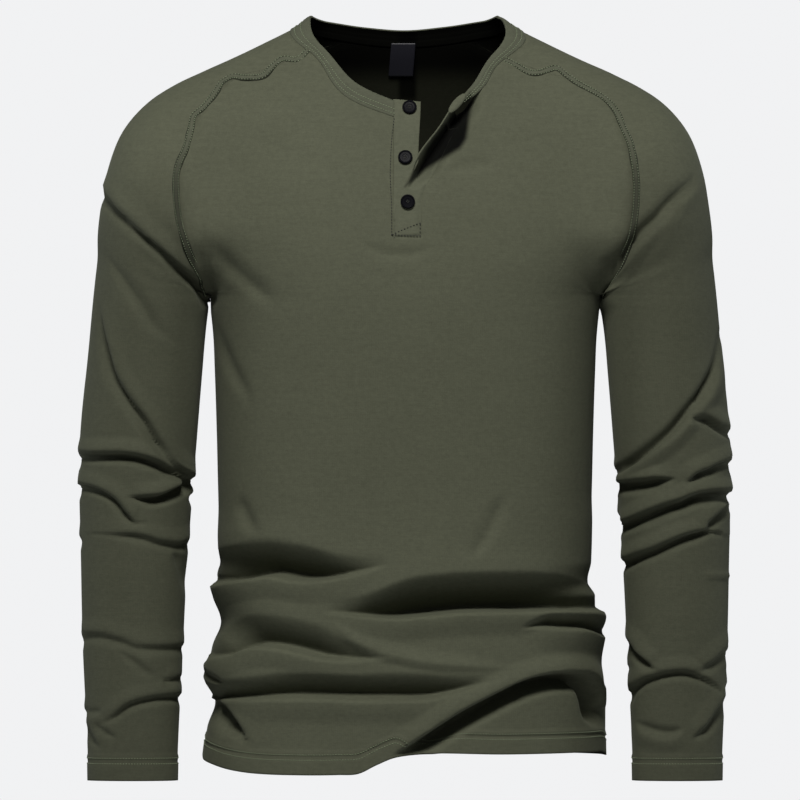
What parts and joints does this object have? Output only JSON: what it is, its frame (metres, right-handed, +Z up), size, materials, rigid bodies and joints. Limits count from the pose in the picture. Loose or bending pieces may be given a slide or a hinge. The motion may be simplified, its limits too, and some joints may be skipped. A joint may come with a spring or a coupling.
{
  "type": "henley shirt",
  "caption": "Long-sleeved raglan henley shirt in smooth jersey, filled out as when worn, with bound neck and open buttoned placket.",
  "frame": {"origin": "midway between the high points of the two shoulders, where the wearer holds the shirt up", "axes": "+Z up; the front faces -Y; the wearer's left sleeve is on +X"},
  "size_m": [0.5859, 0.2398, 0.6884],
  "materials": {
    "jersey": "smooth fine cotton jersey, army green, matt with a soft sheen",
    "jersey_trim": "the same jersey, folded double and topstitched",
    "button_resin": "glossy black resin with a raised rim",
    "label_satin": "black woven satin, bare"
  },
  "bodies": {
    "root": {"front": "jersey", "back": "jersey", "sleeve_right": "jersey", "sleeve_left": "jersey", "neck_binding": "jersey_trim", "placket_under": "jersey_trim", "placket_over": "jersey_trim", "button_top": "button_resin", "button_middle": "button_resin", "button_bottom": "button_resin", "neck_label": "label_satin"}
  },
  "joints": []
}
